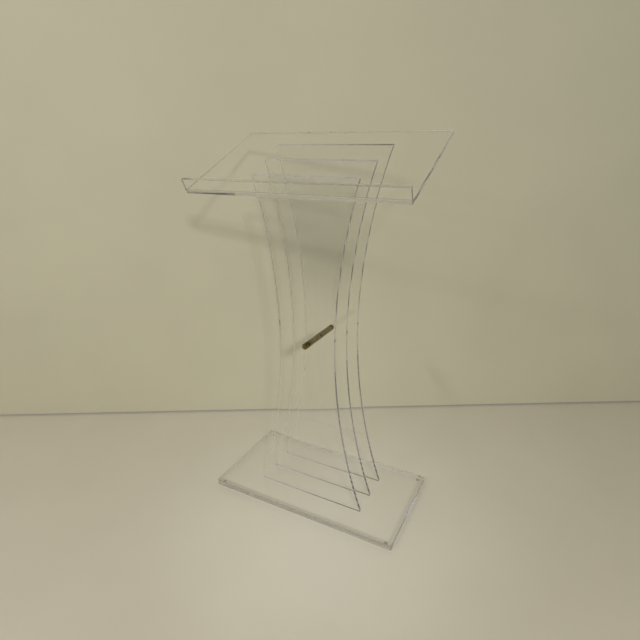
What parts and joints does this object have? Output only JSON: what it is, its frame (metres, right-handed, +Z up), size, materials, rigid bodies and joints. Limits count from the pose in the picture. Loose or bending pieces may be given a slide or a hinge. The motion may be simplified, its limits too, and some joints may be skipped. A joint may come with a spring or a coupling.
{
  "type": "lectern",
  "caption": "Clear acrylic lectern: a sloping desk with a book lip on hourglass panels, with a brass tie at the waist and a flat base on small feet.",
  "frame": {"origin": "bottom centre of the bounding box, on the floor under the lectern", "axes": "+Z up; the reader stands on the -Y side, where the book lip is; +X to the reader's right"},
  "size_m": [0.68, 0.38, 1.2094],
  "materials": {
    "thick_acrylic": "clear, polished",
    "sheet_acrylic": "clear, polished",
    "clear_bumper": "clear, soft, slightly cloudy",
    "aged_brass": "turned, dulled with age"
  },
  "bodies": {
    "root": {"base_plate": "thick_acrylic", "foot_front_left": "clear_bumper", "foot_back_left": "clear_bumper", "foot_front_right": "clear_bumper", "foot_back_right": "clear_bumper", "front_panel": "sheet_acrylic", "middle_panel": "sheet_acrylic", "rear_panel": "sheet_acrylic", "desk_panel": "sheet_acrylic", "book_lip": "sheet_acrylic", "front_sleeve": "aged_brass", "rear_sleeve": "aged_brass", "front_cap": "aged_brass", "tie_bolt": "aged_brass"}
  },
  "joints": []
}
